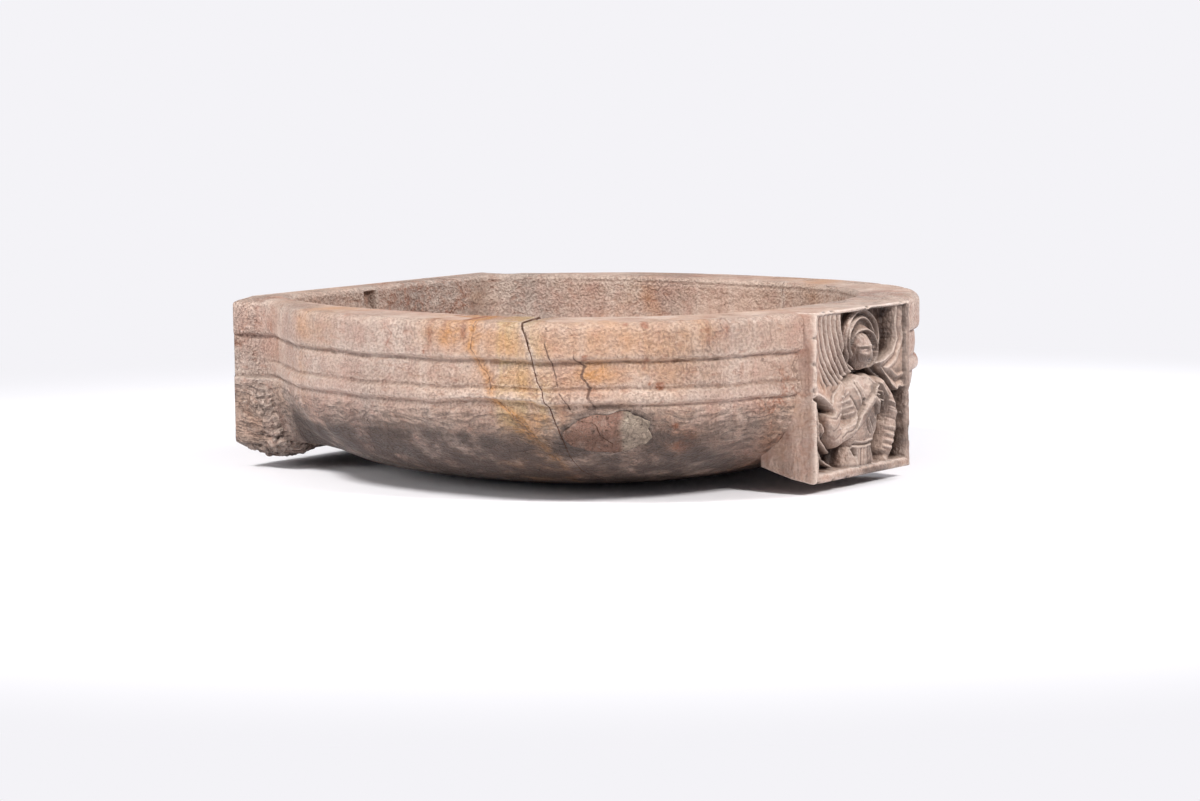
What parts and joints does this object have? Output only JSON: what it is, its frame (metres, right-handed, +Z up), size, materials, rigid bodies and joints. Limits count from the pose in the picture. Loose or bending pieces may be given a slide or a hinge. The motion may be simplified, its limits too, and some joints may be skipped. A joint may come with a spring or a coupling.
{
  "type": "marble wall basin",
  "caption": "D-shaped stone wall basin with a moulded band, side ears and a front block carved with a half figure between curtains, broken once and doweled back together.",
  "frame": {"origin": "centre of the bounding box, at the flat foot of the bowl", "axes": "+Z up out of the bowl, -Y towards the carved front block, +Y the flat back face that stands against the wall, X along the wall"},
  "size_m": [0.69, 0.692, 0.195],
  "materials": {
    "marble": "honed, worn, with fine tool marks",
    "carved_marble": "carved and worn smooth",
    "joint_mortar": "matt, dark",
    "patch_mortar": "rough",
    "lead": "dull lead grey",
    "iron": "forged, rusted"
  },
  "bodies": {
    "root": {"back_stone": "marble", "front_stone": "carved_marble", "break_mortar": "joint_mortar", "mortar_patch": "patch_mortar", "outlet_sleeve": "lead", "near_dowel": "iron", "near_dowel_lead": "lead", "far_dowel": "iron", "far_dowel_lead": "lead", "floor_dowel": "iron", "floor_dowel_lead": "lead"}
  },
  "joints": []
}
